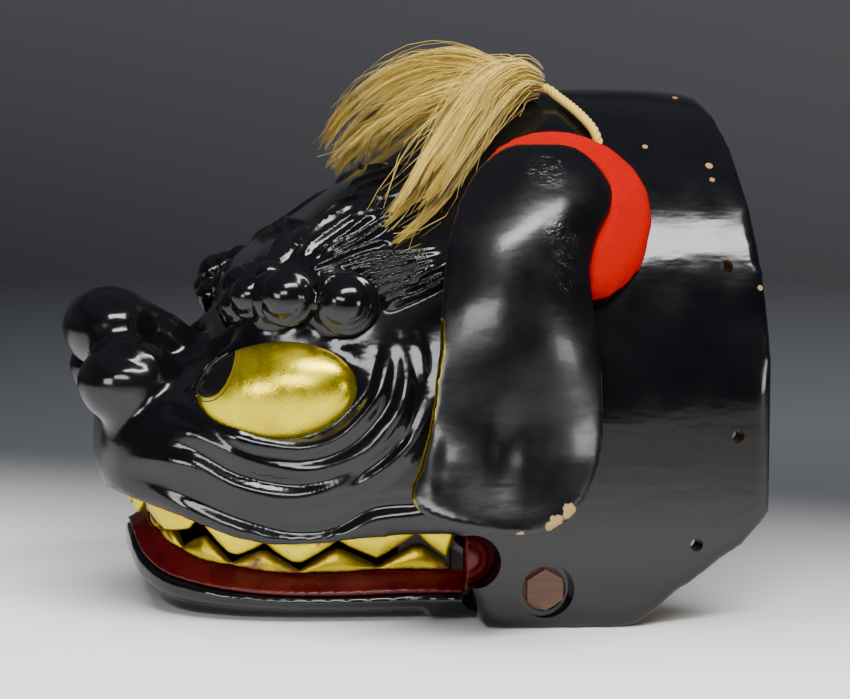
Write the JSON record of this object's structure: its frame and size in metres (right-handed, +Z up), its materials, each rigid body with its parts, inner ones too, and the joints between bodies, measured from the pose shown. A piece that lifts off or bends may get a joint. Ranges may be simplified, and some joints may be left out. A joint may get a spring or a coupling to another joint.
{
  "type": "lion dance head",
  "caption": "Hollow carved lion head in black lacquer for a lion dance, with gold eyes and teeth, a hinged lower jaw, hanging ears on red cloth pads, and hemp tufts tied at the crown.",
  "frame": {"origin": "middle of the bounding box, on the floor that the head stands on, without the two tuft cords", "axes": "+X from the nose to the rear rim, +Y to the lion's right, +Z up"},
  "size_m": [0.378, 0.366, 0.3195],
  "materials": {
    "black_lacquer": "glossy black lacquer on carved wood",
    "red_lacquer": "glossy red lacquer on carved wood",
    "gold_leaf": "worn gold leaf on carved wood",
    "brown_wood": "bare brown wood",
    "red_cloth": "woven cloth over padding",
    "hemp": "loose and twisted hemp fibre"
  },
  "bodies": {
    "head": {"head_shell": "black_lacquer", "jaw_axle": "brown_wood", "upper_gum": "red_lacquer", "upper_teeth": "gold_leaf", "eye_left": "gold_leaf", "eye_right": "gold_leaf", "ear_left": "black_lacquer", "ear_right": "black_lacquer", "ear_peg_left": "brown_wood", "ear_peg_right": "brown_wood", "ear_pad_left": "red_cloth", "ear_pad_right": "red_cloth", "tuft_left": "hemp", "tuft_right": "hemp", "tuft_cord_left": "hemp", "tuft_cord_right": "hemp"},
    "jaw": {"jaw": "black_lacquer", "lower_gum": "red_lacquer", "lower_teeth": "gold_leaf"}
  },
  "joints": [
    {"name": "jaw_hinge", "type": "hinge", "parent": "head", "child": "jaw", "pos_m": [0.0644, 0, 0.022], "axis": [0, -1, 0], "range_deg": [0, 30]}
  ]
}
